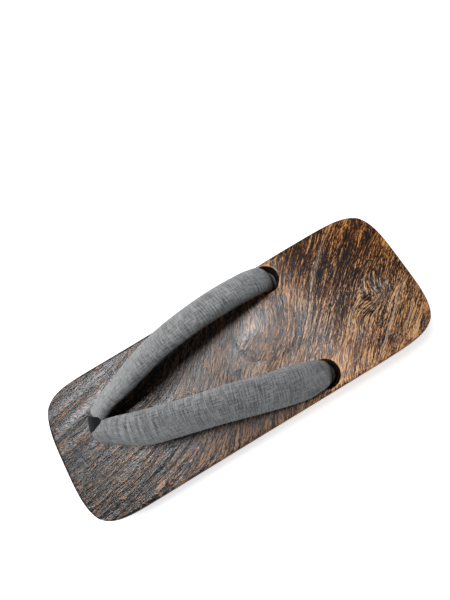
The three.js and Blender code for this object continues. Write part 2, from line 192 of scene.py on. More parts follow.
# 0 below low, 1 above high and 3 t^2 - 2 t^3 between them.
def smoothStep(low, high, value):
    t = np.clip((value - low) / (high - low), 0, 1)
    return t * t * (3 - 2 * t)


# Soft spot turned by an angle in degrees: exp(-(u^2 + v^2) / 2), with u and v in its own sizes.
def softSpot(x, y, centre, sizes, angle=0.0):
    c, s = math.cos(math.radians(angle)), math.sin(math.radians(angle))
    dx, dy = x - centre[0], y - centre[1]
    return np.exp(-0.5 * (((dx * c + dy * s) / sizes[0]) ** 2 + ((dy * c - dx * s) / sizes[1]) ** 2))


# Sum of soft spots, each times its last number.
def spotSum(spots, x, y):
    return sum(share * softSpot(x, y, centre, sizes, angle) for centre, sizes, angle, share in spots)


# Material helpers

# Adds a shader node; inputs that are sockets are linked, the others are set.
def addNode(material, kind, inputs=None, **settings):
    tree = material.node_tree
    node = tree.nodes.new("ShaderNode" + kind)
    for key, value in settings.items():
        setattr(node, key, value)
    for key, value in (inputs or {}).items():
        if isinstance(value, bpy.types.NodeSocket):
            tree.links.new(value, node.inputs[key])
        else:
            node.inputs[key].default_value = value
    return node


# An empty material with its surface shader.
def newMaterial(name):
    material = bpy.data.materials.new(name)
    material.use_nodes = True
    shader = material.node_tree.nodes["Principled BSDF"]
    return material, shader


# sRGB numbers out of 255 as linear light: c / 12.92 near black, ((c + 0.055) / 1.055)^2.4 above it.
def colour(red, green, blue):
    values = [c / 255 for c in (red, green, blue)]
    return [c / 12.92 if c <= 0.04045 else ((c + 0.055) / 1.055) ** 2.4 for c in values] + [1.0]


noiseRoughness = 0.55
offsetShares = (1.0, 1.7, 0.6)    # how an offset is shared out over the three directions


# Noise on a vector stretched by three scales, as a 0 to 1 socket.
def stretchedNoise(material, vector, scales, offset=0.0, detail=2.0, distortion=0.0):
    stretch = addNode(material, "Mapping", {"Vector": vector, "Scale": scales,
                                            "Location": [offset * share for share in offsetShares]})
    noise = addNode(material, "TexNoise", {"Vector": stretch.outputs[0], "Scale": 1.0, "Detail": detail,
                                           "Roughness": noiseRoughness, "Distortion": distortion})
    return noise.outputs["Fac"]


# A value carried smoothly from one range to another.
def mapRange(material, value, low, high, toLow=0.0, toHigh=1.0):
    node = addNode(material, "MapRange", {"Value": value, "From Min": low, "From Max": high,
                                          "To Min": toLow, "To Max": toHigh}, interpolation_type="SMOOTHSTEP")
    return node.outputs[0]


# One arithmetic step on numbers or sockets.
def mathNode(material, operation, *values):
    return addNode(material, "Math", dict(enumerate(values)), operation=operation).outputs[0]


# Sum of named sockets, each times its weight.
def weightedSum(material, sockets, weights):
    total = 0.0
    for name, weight in weights.items():
        total = mathNode(material, "MULTIPLY_ADD", sockets[name], weight, total)
    return total


# The three numbers that a vector holds, as sockets.
def splitVector(material, vector):
    return addNode(material, "SeparateXYZ", {0: vector}).outputs[:3]


# What is stored on the points under a name, as a vector socket.
def readAttribute(material, name):
    return addNode(material, "Attribute", attribute_name=name).outputs["Vector"]


# Normals tilted by a height; the distance is in metres.
def addBump(material, height, strength, distance):
    inputs = {"Height": height, "Strength": strength, "Distance": distance}
    return addNode(material, "Bump", inputs).outputs[0]


# Colour by a 0 to 1 value: rows of (place, sRGB colour).
def addRamp(material, value, rows):
    node = addNode(material, "ValToRGB", {0: value})
    ramp = node.color_ramp
    ramp.elements[0].position, ramp.elements[0].color = rows[0][0], colour(*rows[0][1])
    ramp.elements[1].position, ramp.elements[1].color = rows[-1][0], colour(*rows[-1][1])
    for place, shade in rows[1:-1]:
        ramp.elements.new(place).color = colour(*shade)
    return node.outputs[0]


# Colour between two by a factor.
def mixColours(material, factor, first, second):
    return addNode(material, "Mix", {0: factor, 6: first, 7: second}, data_type="RGBA").outputs[2]


# Gives a piece its one material, hangs it on the root body and hides the CAD node that it stands in for.
def finishPiece(piece, node, material):
    piece.data.materials.clear()
    piece.data.materials.append(material)
    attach(piece, "root")
    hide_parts(node)


# Camera and light: the photograph's angle, about 14 degrees off straight down

cameraPlace = dict(
    position=(-0.01541, 0.03457, 0.32455),
    turns=(12.508, 6.905, 149.545),    # degrees about X, Y and Z; 0, 0, 0 looks straight down
    lens=27.0,                         # 450 pixels, as the sensor spans the photograph's height of 600
    sensor=36.0,
    nearest=0.01,
)


# The camera, turned about X, then Y, then Z, and set at its place.
def makeCamera():
    camera = bpy.data.objects.new("photoCamera", bpy.data.cameras.new("photoCamera"))
    camera.data.lens = cameraPlace["lens"]
    camera.data.sensor_width = cameraPlace["sensor"]
    camera.data.clip_start = cameraPlace["nearest"]
    turns = Euler([math.radians(angle) for angle in cameraPlace["turns"]])
    camera.matrix_world = Matrix.LocRotScale(cameraPlace["position"], turns, None)
    bpy.context.scene.collection.objects.link(camera)
    bpy.context.scene.camera = camera


makeCamera()
print("camera placed")

studio = dict(
    floorSize=6.0,
    floorColour=colour(250, 250, 250),
    floorGlow=0.75,
    floorRoughness=0.85,
    worldColour=colour(244, 247, 252),
    worldStrength=0.06,
)

# name, position, aim, width, length, power, colour; the strip shines on the straps alone, to draw their
# sheen and leave the wood dark
studioLights = [
    ("softboxOverToe", (0.21, -0.23, 1.0), (0.02, 0.0, 0.02), 0.40, 0.34, 9.5, (246, 250, 255)),
    ("stripMedial", (0.42, -0.85, 0.55), (0.0, 0.0, 0.02), 0.9, 0.4, 9.5, (255, 253, 250)),
]


# Area light at a place, turned so that it shines at its aim.
def makeLight(name, position, aim, width, length, power, tint):
    data = bpy.data.lights.new(name, "AREA")
    data.shape = "RECTANGLE"
    data.size, data.size_y = width, length
    data.energy = power
    data.color = colour(*tint)[:3]
    light = bpy.data.objects.new(name, data)
    away = unit(np.subtract(position, aim))
    side = unit(np.cross((0, 1, 0), away))
    turn = np.eye(4)
    turn[:3, 0], turn[:3, 1], turn[:3, 2], turn[:3, 3] = side, np.cross(away, side), away, position
    light.matrix_world = Matrix(turn.tolist())
    bpy.context.scene.collection.objects.link(light)
    return light


# The floor, the even light all round and the lamps. Returns the collection of what the strip shines on.
def makeStudio():
    half = studio["floorSize"] / 2
    corners = np.array([[-half, -half, 0], [half, -half, 0], [half, half, 0], [-half, half, 0]])
    mesh = bpy.data.meshes.new("floor")
    mesh.from_pydata(corners.tolist(), [], [[0, 1, 2, 3]])
    floor = bpy.data.objects.new("floor", mesh)
    bpy.context.scene.collection.objects.link(floor)
    material, shader = newMaterial("palePaper")
    shader.inputs["Base Color"].default_value = studio["floorColour"]
    shader.inputs["Roughness"].default_value = studio["floorRoughness"]
    shader.inputs["Emission Color"].default_value = studio["floorColour"]
    shader.inputs["Emission Strength"].default_value = studio["floorGlow"]
    mesh.materials.append(material)
    world = bpy.data.worlds.new("studioWorld")
    world.use_nodes = True
    background = world.node_tree.nodes["Background"]
    background.inputs["Color"].default_value = studio["worldColour"]
    background.inputs["Strength"].default_value = studio["worldStrength"]
    bpy.context.scene.world = world
    lights = {row[0]: makeLight(*row) for row in studioLights}
    bpy.context.scene.view_settings.view_transform = "Standard"
    strapsOnly = bpy.data.collections.new("litByStrip")
    lights["stripMedial"].light_linking.receiver_collection = strapsOnly
    return strapsOnly


litByStrip = makeStudio()
print("studio lit")


# Wood base, in millimetres until the mesh is made

woodSizes = dict(
    halfLength=127.5,
    halfWidth=47.4,
    widerAtToe=0.016,
    toeCorner=(14, 3.33),      # exponents along and across, higher is squarer
    heelCorner=(13, 4.0),
    gridStep=1.0,
    edgeOffsets=(0.0, 0.1, 0.35, 0.75, 1.3),
    topEdge=1.5,
    bottomEdge=2.0,
    wallRows=14,
    relief=0.10,               # depth of the brushed waves of the grain
    reliefFade=(0.6, 3.0),     # from the edge inwards, where the relief starts and is full
    arcDepth=0.22,             # depth of the grooves round the ringed figure
    sharpAbove=38,             # degrees between faces over which an edge is shaded sharp
)
topProfile = [(-127.5, 38.0), (-70, 38.0), (-40, 36.2), (-10, 32.9), (20, 30.0), (50, 28.8), (80, 29.0),
              (104, 29.8), (127.5, 31.0)]
underProfile = [(-127.5, 0.0), (-70, 0.0), (-40, 0.0), (-10, 0.0), (20, 0.0), (50, 0.0), (80, 0.0),
                (104, 3.2), (127.5, 11.0)]
archProfile = [(-66, -8.0), (-64, -1.0), (-60, 6.0), (-52, 11.0), (-40, 14.0), (-26, 15.0), (-10, 12.5),
               (4, 6.5), (15, -1.0), (18, -8.0)]
backHole = dict(x=-47.3, y=35.7, shift=-0.5, radius=8.6, depth=17.5, cordRadius=4.2, rim=1.4)
frontHole = dict(x=88.5, y=-11.8, radius=6.2, rim=1.2, recessRadius=12.0, recessDepth=7.5)


# Height of the top at any x.
def topHeight(x):
    return readHeight(topProfile, x)


# The arch's own curve: its table read as one smooth line by row number.
def smoothArch(x):
    rows = readTable(archProfile, np.linspace(0, len(archProfile) - 1, 600))
    return np.interp(x, rows[:, 0], rows[:, 1])


# The underside: the higher of ground g and arch roof r, with a small round m where they meet,
# (g + r + sqrt((g - r)^2 + m^2)) / 2, lowered by the little that the round adds on the flats.
def underHeight(x):
    ground = readHeight(underProfile, x)
    roof = smoothArch(x)
    meeting, lowered = 0.5, 0.005
    return np.maximum(ground, 0.5 * (ground + roof + np.sqrt((ground - roof) ** 2 + meeting ** 2)) - lowered)


# The direction of the grain, as lines of equal "across" (mm). In a frame turned by 33 degrees,
# across = q - slope integral of x - bells, where a bell makes an eye with rings round it.
grain = dict(
    turn=33,
    averaged=41,               # rows of the slope's table, half a millimetre apart, that are averaged
    # waves that push the lines across and along (mm): longest, shortest, count, stretch, seed
    waverAcross=0.7,
    acrossWaves=(45, 12, 9, 1.0, 11),
    waverAlong=1.5,
    alongWaves=(50, 15, 7, 1.0, 5),
    reliefWaves=(7.0, 2.4, 26, 6.0, 3),
)
grainSlope = [(-128, 0.14), (-100, 0.14), (-70, 0.26), (-20, 0.42), (10, 0.5), (30, 0.12), (50, -0.16),
              (75, -0.32), (128, -0.38)]
grainEyes = [((-32.0, -6.0), (15.0, 12.0), 35.0, 13.0), ((-101.0, 9.0), (6.5, 4.5), 15.0, 6.0),
             ((-84.0, 17.0), (6.0, 4.0), 40.0, -3.0)]


# Sum of sine waves with seeded directions: a smooth field in two coordinates.
def waveField(u, v, longest, shortest, count, stretch, seed):
    draw = np.random.default_rng(seed)
    lengths = np.exp(draw.uniform(math.log(shortest), math.log(longest), count))
    turns = draw.uniform(-0.5, 0.5, count)
    phases = draw.uniform(0, 2 * math.pi, count)
    total = np.zeros_like(u)
    for length, turn, phase in zip(lengths, turns, phases):
        total += np.sin(2 * math.pi / length * (v * math.cos(turn) + u * math.sin(turn) / stretch) + phase)
    return total / math.sqrt(count)


# Where points lie along and across the grain (mm).
def grainFlow(x, y):
    c, s = math.cos(math.radians(grain["turn"])), math.sin(math.radians(grain["turn"]))
    along = x * c + y * s
    across = y * c - x * s
    fine = np.linspace(-140, 140, 561)
    width = grain["averaged"]
    slope = np.pad(np.interp(fine, *np.array(grainSlope).T), width // 2, mode="edge")
    slope = np.convolve(slope, np.ones(width) / width, mode="valid")
    rise = np.cumsum(slope) * (fine[1] - fine[0])
    across = across - np.interp(x, fine, rise)
    for centre, sizes, angle, height in grainEyes:
        across = across - height * softSpot(x, y, centre, sizes, angle)
    across = across + grain["waverAcross"] * waveField(x * 0.7 + y, y - x * 0.4, *grain["acrossWaves"])
    along = along + grain["waverAlong"] * waveField(x, y, *grain["alongWaves"])
    return along, across


# Relief of the brushed wood (mm): long waves that follow the grain.
def grainRelief(along, across):
    return woodSizes["relief"] * waveField(along, across, *grain["reliefWaves"])


# Dark grooves round the ringed figure, each a bell across an ellipse's line: centre, half axes, heights over
# the centre between which it fades in, share.
grooveArcs = [((-30, -10), (22.0, 21.5), (-9, -1), 1.0), ((-30, -10), (18.5, 18.0), (2, 9), 0.35)]
arcWidth = 0.95


# exp(-(d / width)^2) at the distance d from the nearest arc, times its fade.
def arcShare(x, y):
    total = np.zeros_like(x)
    for (cx, cy), (a, b), reach, share in grooveArcs:
        fromArc = (np.hypot((x - cx) / a, (y - cy) / b) - 1) * b
        total = np.maximum(total, share * np.exp(-(fromArc / arcWidth) ** 2) * smoothStep(*reach, y - cy))
    return total


# Footprint: a square grid pressed into the sole's superellipse,
# x = a s (1 - |t|^m / 2)^(1/n), y = b t (1 - |s|^n / 2)^(1/m), a little wider towards the toe.
def footprint(s, t):
    n = np.where(s > 0, woodSizes["toeCorner"][0], woodSizes["heelCorner"][0])
    m = np.where(s > 0, woodSizes["toeCorner"][1], woodSizes["heelCorner"][1])
    u = s * (1 - np.abs(t) ** m / 2) ** (1 / n)
    v = t * (1 - np.abs(s) ** n / 2) ** (1 / m)
    return (woodSizes["halfLength"] * u,
            woodSizes["halfWidth"] * v * (1 + woodSizes["widerAtToe"] * u))


# Grid lines from -1 to 1 for one side's half size: close together at both edges, even between.
def gridLines(half):
    offsets = np.array(woodSizes["edgeOffsets"])
    inner = 1 - (offsets[-1] + woodSizes["gridStep"] * 0.8) / half
    count = int(round(2 * half * inner / woodSizes["gridStep"])) + 1
    edge = 1 - offsets / half
    return np.concatenate([-edge, np.linspace(-inner, inner, count), edge[::-1]])


# How far a rounded edge falls at a distance from it: r - sqrt(r^2 - (r - d)^2).
def roundedEdge(distance, radius):
    inside = np.clip(radius - distance, 0, radius)
    return radius - np.sqrt(radius ** 2 - inside ** 2)


# The block: the top and underside over one grid of the footprint, and the wall between their rims.
def woodSurface():
    a, b = woodSizes["halfLength"], woodSizes["halfWidth"]
    s, t = np.meshgrid(gridLines(a), gridLines(b), indexing="ij")
    x, y = footprint(s, t)
    fromEdge = np.minimum((1 - np.abs(s)) * a, (1 - np.abs(t)) * b)
    fade = smoothStep(*woodSizes["reliefFade"], fromEdge)
    top = topHeight(x) - roundedEdge(fromEdge, woodSizes["topEdge"])
    top = top + fade * (grainRelief(*grainFlow(x, y)) - woodSizes["arcDepth"] * arcShare(x, y))
    bottom = underHeight(x) + roundedEdge(fromEdge, woodSizes["bottomEdge"])
    rows, columns = s.shape
    count = rows * columns
    i, j = np.meshgrid(np.arange(rows - 1), np.arange(columns - 1), indexing="ij")
    quad = np.stack([i * columns + j, (i + 1) * columns + j, (i + 1) * columns + j + 1,
                     i * columns + j + 1], -1).reshape(-1, 4)
    index = np.arange(count).reshape(rows, columns)
    rim = np.concatenate([index[:-1, 0], index[-1, :-1], index[:0:-1, -1], index[0, :0:-1]])
    flatPoints = np.stack([x, y], -1).reshape(-1, 2)
    wallRows = woodSizes["wallRows"]
    share = (np.arange(1, wallRows) / wallRows)[:, None]
    wallTop, wallBottom = top.ravel()[rim], bottom.ravel()[rim]
    wallHeight = wallTop + (wallBottom - wallTop) * share
    wallPoints = np.dstack([np.broadcast_to(flatPoints[rim], (wallRows - 1, len(rim), 2)), wallHeight])
    points = np.concatenate([np.column_stack([flatPoints, top.ravel()]),
                             np.column_stack([flatPoints, bottom.ravel()]), wallPoints.reshape(-1, 3)])
    between = 2 * count + np.arange((wallRows - 1) * len(rim)).reshape(-1, len(rim))
    levels = np.vstack([rim, between, rim + count])
    upper, lower = levels[:-1], levels[1:]
    wall = np.stack([upper, lower, np.roll(lower, -1, 1), np.roll(upper, -1, 1)], -1).reshape(-1, 4)
    return points, [quad, quad[:, ::-1] + count, wall]


# The block with its holes turned out of it, and what its material reads stored on its points.
def makeWood():
    points, faces = woodSurface()
    wood = makePiece("woodBase", points * mm, faces)
    cutters = [latheCutter("backHoleCutter", backHole["x"], side * backHole["y"] + backHole["shift"],
                           backHoleProfile()) for side in (1, -1)]
    cutters.append(latheCutter("frontHoleCutter", frontHole["x"], frontHole["y"], frontHoleProfile()))
    applyBoolean(wood, cutters, "DIFFERENCE")
    paintWood(wood)
    wood.data.set_sharp_from_angle(angle=math.radians(woodSizes["sharpAbove"]))
    finishPiece(wood, "wood_base", woodMaterial())
    return wood


cutter = dict(
    sides=72,
    below=-3,                  # how far a cutter reaches under the sole and over the top
    above=4,
    rimBeyond=(1.5, 0.35),     # the rim's last step outwards and up, clear of the wood's relief
    slopeReach=5.0,            # distance over which the top's slope is taken
    leanFrom=(15, 25),         # heights between which a cutter starts to follow that slope
)


# Profile of a rim: a quarter round that opens the hole outwards at the top, then on above the wood.
def rimProfile(radius, rim, top):
    turn = np.linspace(0, math.pi / 2, 6)
    rows = [(radius + rim * (1 - math.cos(t)), top - rim + rim * math.sin(t)) for t in turn]
    outwards, upwards = cutter["rimBeyond"]
    edge, over = radius + rim + outwards, top + cutter["above"]
    return rows + [(edge, top + upwards), (edge, over), (0, over)]


# Profile of a back hole from below: the cord's bore, the step, and the hole for the strap's end.
def backHoleProfile():
    top = float(topHeight(np.array(backHole["x"])))
    floor = top - backHole["depth"]
    cord, wide, below = backHole["cordRadius"], backHole["radius"], cutter["below"]
    return [(0, below), (cord, below), (cord, floor - 0.6), (cord + 0.6, floor), (wide - 0.8, floor),
            (wide, floor + 0.8)] + rimProfile(wide, backHole["rim"], top)


# Profile of the front hole from below: the recess for the knot, then the hole for the loop's stem.
def frontHoleProfile():
    top = float(topHeight(np.array(frontHole["x"])))
    deep, wide, narrow = (frontHole[key] for key in ("recessDepth", "recessRadius", "radius"))
    below = cutter["below"]
    return [(0, below), (wide + 0.8, below), (wide + 0.8, 0), (wide, 0.8), (wide, deep - 0.8),
            (wide - 0.8, deep), (narrow + 0.5, deep), (narrow, deep + 0.5),
            ] + rimProfile(narrow, frontHole["rim"], top)


# Turned cutter: a profile of (radius, height) carried round a vertical axis, sheared to the top's slope.
def latheCutter(name, x, y, profile):
    profile = np.array(profile, float)
    turns = np.linspace(0, 2 * math.pi, cutter["sides"], endpoint=False)
    radius = profile[1:-1, 0][:, None]
    height = profile[1:-1, 1][:, None]
    reach = cutter["slopeReach"]
    slope = (topHeight(np.array(x + reach)) - topHeight(np.array(x - reach))) / (2 * reach)
    lean = smoothStep(*cutter["leanFrom"], height) * slope
    rings = np.dstack([x + radius * np.cos(turns), y + radius * np.sin(turns),
                       height + lean * radius * np.cos(turns)])
    first = np.array([x, y, profile[0, 1]])
    last = np.array([x, y, profile[-1, 1]])
    return makeTube(name, rings * mm, first * mm, last * mm)


# Where the wood is golden, pale or dark, by how much a tone shifts, and the painted highlight on the holes'
# rims and painted shade inside them; sizes in millimetres.
woodZones = dict(
    topAbove=20,               # a face higher than this belongs to the top
    wallNormal=(0.25, 0.75),   # upright share of the normal between which wall grain becomes top grain
    toeAlong=(-58, -10),       # where golden heel becomes dark toe
    toeSkew=0.3,
    tone=0.02,
    pale=0.12,
    edgeNormal=(0.82, 0.985),
    edgeTone=-0.22,
    # painted highlight on each hole's rounded rim: where it fades out, and its strength
    rimReach=(1.4, 2.6),
    rimHighlight=0.40,
    # painted shade down inside each hole: where it fades out, and its strength
    holeReach=(0.3, 1.0),
    holeShade=-1.6,
    arcTone=-0.5,
    streakSide=4.0,            # how far beside a streak it still counts as the nearest
)


wallGrain = dict(
    cornerFrom=60,             # x over which the lines are carried fully round the corners
    stretch=1.2,
    offset=90,                 # keeps the wall's grain away from the top's in the noises
    wave=1.2,
    waveReach=17,
    endTilt=0.1,               # slope of the lines over the toe's and heel's ends
    endFrom=(90, 125),
)


# Grain of the walls: along is x carried round the corners, across is the height with a slow wave.
def wallFlow(x, y, z):
    w = wallGrain
    along = x + np.clip(x / w["cornerFrom"], -1, 1) * (woodSizes["halfWidth"] - np.abs(y))
    across = z * w["stretch"] + w["offset"] + w["wave"] * np.sin(along / w["waveReach"])
    across += w["endTilt"] * y * smoothStep(*w["endFrom"], np.abs(x))
    return np.column_stack([along, across, 0 * x])


# For each point: share of the strongest painted glint near it, and how many half widths away its line is.
def streakNear(x, y, across):
    share = np.zeros_like(x)
    away = np.full_like(x, 9.0)
    for (cx, cy), (reach, half), angle, strength in glintStreaks:
        spot = strength * softSpot(x, y, (cx, cy), (reach, woodZones["streakSide"] + half), angle)
        lineAcross = grainFlow(np.array([float(cx)]), np.array([float(cy)]))[1][0]
        nearer = spot > share
        away = np.where(nearer, (across - lineAcross) / half, away)
        share = np.where(nearer, spot, share)
    return share, away


# For each point: where it lies along and across the grain (mm), and how its zone looks, painted shade,
# shadow, highlight and glints included.
def paintWood(wood):
    zones = woodZones
    x, y, z = (pointsOf(wood) / mm).T
    normals = np.empty(len(x) * 3)
    wood.data.vertex_normals.foreach_get("vector", normals)
    upright = normals[2::3]
    onTop = z > zones["topAbove"]
    onWall = 1 - smoothStep(*zones["wallNormal"], np.abs(upright))
    along, across = grainFlow(x, y)
    wallShare = onWall[:, None]
    flow = np.column_stack([along, across, z]) * (1 - wallShare) + wallFlow(x, y, z) * wallShare
    storeOnPoints(wood, "grainFlow", flow)
    toe = smoothStep(*zones["toeAlong"], x - zones["toeSkew"] * y)
    tone = zones["tone"] + spotSum(toneAndShadowSpots, x, y)
    tone += zones["edgeTone"] * (1 - smoothStep(*zones["edgeNormal"], upright)) * onTop
    # Painted light at the holes: a highlight on each rounded rim, shade down inside the hole
    for holeX, holeY, radius in holePlaces:
        fromHole = np.hypot(x - holeX, y - holeY) - radius
        rim = zones["rimHighlight"] * (1 - smoothStep(*zones["rimReach"], fromHole))
        rim += zones["holeShade"] * (1 - smoothStep(*zones["holeReach"], fromHole))
        tone += np.where(onTop, rim, 0)
    tone += zones["arcTone"] * arcShare(x, y) * onTop
    pale = np.clip(zones["pale"] + spotSum(paleSpots, x, y), 0, 1)
    storeOnPoints(wood, "woodZone", np.column_stack([toe, tone, pale]))
    # Painted glints: where the listed streaks of reflected light lie, on the top only
    share, away = streakNear(x, y, across)
    contrast = (1 - onWall) * spotSum(contrastSpots, x, y)
    storeOnPoints(wood, "glintStreak", np.column_stack([share * (1 - onWall), away, contrast]))


# The three holes in the top: place and radius.
holePlaces = [(backHole["x"], side * backHole["y"] + backHole["shift"], backHole["radius"])
              for side in (1, -1)]
holePlaces.append((frontHole["x"], frontHole["y"], frontHole["radius"]))

# Where the wood is lighter or darker: centre, reach along and across, angle, shift of tone. The spot at (40,
# -10) is painted shadow of the inner arm on the top beside it.
toneAndShadowSpots = [
    ((-90, -9), (24, 7.5), 44, -0.64), ((-114, -24), (16, 4), 50, 0.10), ((-60, 0), (26, 4.0), 46, -0.24),
    ((-103, 12), (8, 4), 20, -0.10), ((-112, 36), (16, 10), 38, 0.14), ((-68, 30), (20, 14), 30, 0.16),
    ((-81, 18), (6, 3), 38, 0.14), ((-120, 5), (7, 9), 60, -0.26), ((-82, -37), (18, 9), 45, -0.5),
    # the middle spot below, at (40, -10), is the inner arm's painted shadow
    ((-70, -16), (12, 8), 45, 0.04), ((40, -10), (26, 8), 12, -0.12), ((115, 34), (14, 12), 10, -0.12),
    ((30, 40), (34, 8), 20, 0.06), ((-45, -5), (9, 12), 20, -0.26), ((72, -38), (20, 9), 10, -0.2),
    ((118, -8), (12, 22), 0, -0.22), ((100, 5), (40, 40), 0, -0.13), ((10, -5), (16, 14), 0, 0.1),
    ((50, 34), (14, 8), 15, -0.12), ((-62, 22), (10, 8), 35, -0.08),
]
# Where the grain stands out most: centre, reach, angle, share.
contrastSpots = [((-102, 8), (15, 12), 30, 0.9), ((32, 39), (42, 9), 15, 0.8), ((-34, -2), (16, 16), 0, 0.6),
                 ((88, 28), (28, 16), 10, 0.3)]
# Where the colour is pale and greyish instead of golden.
paleSpots = [((-103, 12), (14, 10), 30, 0.55), ((-88, -8), (24, 9), 44, 0.45), ((-72, -20), (22, 6), 48, 0.4),
             ((-60, 4), (12, 14), 40, 0.4), ((-116, 36), (12, 8), 38, 0.25),
             ((-116, -26), (14, 13), 50, -0.3)]
# Painted glints, thin grey streaks of light reflected off raised lines of the grain: a place on each, reach
# along, half width, angle, strength.
glintStreaks = [
    ((-109, 33), (12, 0.55), 38, 0.7), ((-100, 27.5), (17, 0.5), 38, 0.9), ((-116, 14), (6, 0.5), 42, 0.6),
    ((-86, 9), (12, 0.45), 34, 0.6), ((-80, -26), (14, 1.7), 50, 0.4), ((-92, 38), (9, 0.4), 38, 0.4),
    ((92, 22), (14, 0.6), 10, 0.3),
]

burntWood = dict(
    # tone to colour, dark grooves first: golden heel, pale heel, toe half
    golden=[(0.0, (20, 8, 1)), (0.3, (72, 35, 8)), (0.5, (124, 67, 20)), (0.7, (176, 107, 42)),
            (1.0, (230, 164, 92))],
    pale=[(0.0, (18, 11, 7)), (0.3, (64, 41, 27)), (0.5, (112, 77, 53)), (0.7, (166, 124, 90)),
          (1.0, (226, 196, 162))],
    toe=[(0.0, (2, 2, 3)), (0.3, (18, 14, 11)), (0.5, (48, 36, 27)), (0.7, (92, 67, 47)),
         (1.0, (166, 118, 78))],
    # grey of the painted glints, light reflected off raised lines of the grain
    glint=colour(150, 152, 148),
    # noises on the grain's own lines: waves per mm along, across and up, offset, detail, distortion
    noises=dict(
        band=((0.012, 0.13, 0.1), 91.0, 2.0, 0.1),
        broad=((0.05, 0.22, 0.15), 3.0, 3.0, 0.2),
        groove=((0.11, 1.12, 0.8), 11.0, 3.0, 0.5),
        fleck=((0.40, 1.9, 1.4), 23.0, 2.0, 0.6),
        fine=((0.9, 3.4, 2.4), 51.0, 2.0, 0.0),
        ring=((0.02, 0.34, 0.3), 71.0, 2.0, 0.1),
    ),
    ringLine=(0.05, 0.015),    # nearness of the ring noise to a half where its dark line starts and is full
    detailWeights=dict(line=-0.2, groove=2.8, fleck=2.8, fine=1.3),
    detailMiddle=3.45,         # half the sum of the weights of the three noises
    contrastGain=0.9,
    wideWeights=dict(band=1.5, broad=0.8, ring=1.1),
    wideMiddle=1.7,
    wideAtToe=0.5,             # share of the wide bands that is left on the toe half
    toneMiddle=0.57,
    streakEdge=(1.4, 0.4),     # half widths from a streak's line where it starts and is full
    streakFlecks=(0.40, 0.56, 0.35, 1.0),
    reliefWeights=dict(groove=1.0, fine=0.25, fleck=0.6, line=-0.12),
    bump=(1.0, 0.0005),
    coatBump=(0.8, 0.0003),
    roughness=0.5,
    specular=0.2,
    coatWeight=0.72,
    coatRoughness=0.2,
)


# Burnt and brushed wood. tone = shift + contrast x detail + wide, where detail and wide are weighted sums of
# noises stretched along the grain's lines. The tone picks a colour on three ramps, mixed by zone.
def woodMaterial():
    material, shader = newMaterial("burntWood")
    w = burntWood
    toe, toneShift, paleShare = splitVector(material, readAttribute(material, "woodZone"))
    streakShare, streakAway, contrastShare = splitVector(material, readAttribute(material, "glintStreak"))
    flow = readAttribute(material, "grainFlow")
    noises = {name: stretchedNoise(material, flow, *row) for name, row in w["noises"].items()}
    fromLine = mathNode(material, "ABSOLUTE", mathNode(material, "SUBTRACT", noises["ring"], 0.5))
    noises["line"] = mapRange(material, fromLine, *w["ringLine"])

    detail = weightedSum(material, noises, w["detailWeights"])
    detail = mathNode(material, "SUBTRACT", detail, w["detailMiddle"])
    contrast = mathNode(material, "MULTIPLY_ADD", contrastShare, w["contrastGain"], 1.0)
    wide = weightedSum(material, noises, w["wideWeights"])
    wide = mathNode(material, "SUBTRACT", wide, w["wideMiddle"])
    wide = mathNode(material, "MULTIPLY", wide, mapRange(material, toe, 0, 1, 1, w["wideAtToe"]))
    tone = mathNode(material, "ADD", toneShift, w["toneMiddle"])
    tone = mathNode(material, "ADD", mathNode(material, "MULTIPLY_ADD", detail, contrast, tone), wide)

    golden, pale, dark = (addRamp(material, tone, w[key]) for key in ("golden", "pale", "toe"))
    base = mixColours(material, toe, mixColours(material, paleShare, golden, pale), dark)
    # Painted glints: grey flecks of reflected light laid over the base along the listed streaks
    fromStreak = mathNode(material, "ABSOLUTE", streakAway)
    glint = mathNode(material, "MULTIPLY", streakShare, mapRange(material, fromStreak, *w["streakEdge"]))
    flecked = mapRange(material, noises["fleck"], *w["streakFlecks"])
    base = mixColours(material, mathNode(material, "MULTIPLY", glint, flecked), base, w["glint"])

    height = weightedSum(material, noises, w["reliefWeights"])
    links = material.node_tree.links
    links.new(base, shader.inputs["Base Color"])
    links.new(addBump(material, height, *w["bump"]), shader.inputs["Normal"])
    links.new(addBump(material, height, *w["coatBump"]), shader.inputs["Coat Normal"])
    shader.inputs["Roughness"].default_value = w["roughness"]
    shader.inputs["Coat Weight"].default_value = w["coatWeight"]
    shader.inputs["Coat Roughness"].default_value = w["coatRoughness"]
    shader.inputs["Specular IOR Level"].default_value = w["specular"]
    return material


wood = makeWood()
print("wood base made,", len(wood.data.polygons), "faces")


# Straps: two padded arms, in millimetres until the mesh is made

